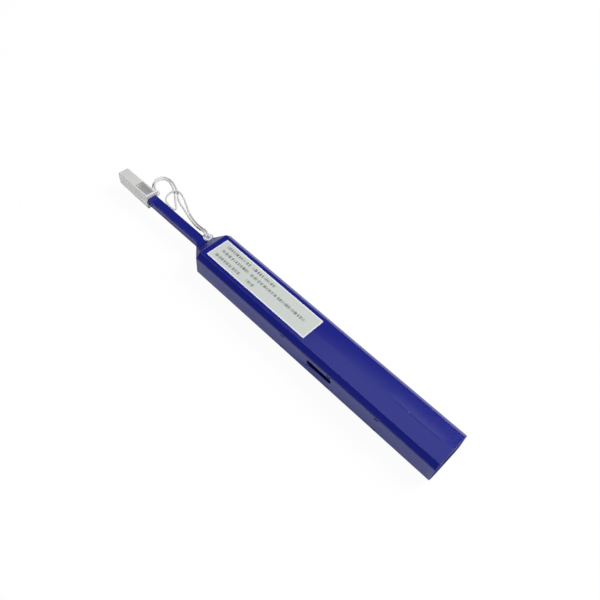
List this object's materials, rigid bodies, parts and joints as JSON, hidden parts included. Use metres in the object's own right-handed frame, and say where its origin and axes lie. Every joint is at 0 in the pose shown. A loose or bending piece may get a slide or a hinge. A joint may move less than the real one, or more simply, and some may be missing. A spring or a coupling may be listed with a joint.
{
  "type": "fibre connector cleaning pen",
  "caption": "Flat eight-sided push-to-click cleaning pen with a long square neck, a milky push-on cap on a cord and a sprung core that winds cleaning thread past the tip.",
  "frame": {"origin": "under the middle of the pen's length and width, on the back face that it lies on", "axes": "+X towards the rear end, along the pen; +Y across, towards the eyelet; +Z out of the label face"},
  "size_m": [0.19, 0.0278, 0.0133],
  "materials": {
    "shell_blue": "glossy moulded ABS",
    "cover_blue": "glossy moulded ABS",
    "label_white": "satin paper label",
    "eyelet_white": "glossy white nylon",
    "cap_milky": "milky translucent polyethylene",
    "cord_white": "round white polyester cord",
    "gear_white": "acetal",
    "pin_steel": "ground steel pin",
    "spring_steel": "spring wire",
    "core_grey": "moulded acetal",
    "nozzle_white": "moulded plastic",
    "tip_white": "acetal",
    "thread_white": "lint-free thread",
    "reel_blue": "moulded plastic"
  },
  "bodies": {
    "case": {"mid_frame": "shell_blue", "front_cover": "cover_blue", "back_cover": "cover_blue", "label": "label_white", "eyelet": "eyelet_white", "tether_long_strand": "cord_white", "tether_short_strand": "cord_white", "tether_knot": "cord_white", "drive_rack": "gear_white", "cam_pin": "pin_steel", "return_spring": "spring_steel"},
    "cap": {"cap": "cap_milky"},
    "core": {"core_frame": "core_grey", "nozzle_tube": "nozzle_white", "tip_sleeve": "tip_white", "supply_axle": "pin_steel", "take_up_axle": "pin_steel", "ratchet_pawl": "core_grey", "cleaning_thread": "thread_white", "roller_pin_near": "pin_steel", "roller_pin_far": "pin_steel"},
    "supply": {"supply_reel": "reel_blue", "supply_thread": "thread_white"},
    "take_up": {"take_up_reel": "reel_blue", "take_up_thread": "thread_white", "drive_pinion": "gear_white", "ratchet_wheel": "gear_white"},
    "head": {"cam_barrel": "gear_white", "head_shaft": "pin_steel"},
    "roller_near": {"guide_roller_near": "gear_white"},
    "roller_far": {"guide_roller_far": "gear_white"}
  },
  "joints": [
    {"name": "cap_slide", "type": "slide", "parent": "case", "child": "cap", "axis": [-1, 0, 0], "range_m": [0, 0.03], "deforming": ["tether_long_strand", "tether_short_strand"]},
    {"name": "core_slide", "type": "slide", "parent": "case", "child": "core", "axis": [1, 0, 0], "range_m": [0, 0.008], "stiffness_N_per_m": 250, "springref_m": -0.006, "deforming": ["return_spring"]},
    {"name": "supply_turn", "type": "hinge", "parent": "core", "child": "supply", "pos_m": [0.0402, -0.0009, 0.0065], "axis": [0, 0, 1], "range_deg": [-64.8, 0]},
    {"name": "take_up_turn", "type": "hinge", "parent": "core", "child": "take_up", "pos_m": [0.066, 0, 0.0072], "axis": [0, 0, 1], "range_deg": [-76.9, 0]},
    {"name": "head_turn", "type": "hinge", "parent": "core", "child": "head", "pos_m": [0.007, 0, 0.0066], "axis": [1, 0, 0], "range_deg": [0, 180.5]},
    {"name": "roller_near_turn", "type": "hinge", "parent": "core", "child": "roller_near", "pos_m": [-0.008, -0.00235, 0.0066], "axis": [0, 0, 1], "range_deg": [-255.1, 0]},
    {"name": "roller_far_turn", "type": "hinge", "parent": "core", "child": "roller_far", "pos_m": [-0.008, 0.00235, 0.0066], "axis": [0, 0, 1], "range_deg": [-255.1, 0]}
  ],
  "couplings": [
    {"joint": "supply_turn", "follows": "core_slide", "rad_per_m": -140.19},
    {"joint": "take_up_turn", "follows": "core_slide", "rad_per_m": -166.67},
    {"joint": "head_turn", "follows": "core_slide", "rad_per_m": 392.7},
    {"joint": "roller_near_turn", "follows": "core_slide", "rad_per_m": -555.56},
    {"joint": "roller_far_turn", "follows": "core_slide", "rad_per_m": -555.56}
  ]
}
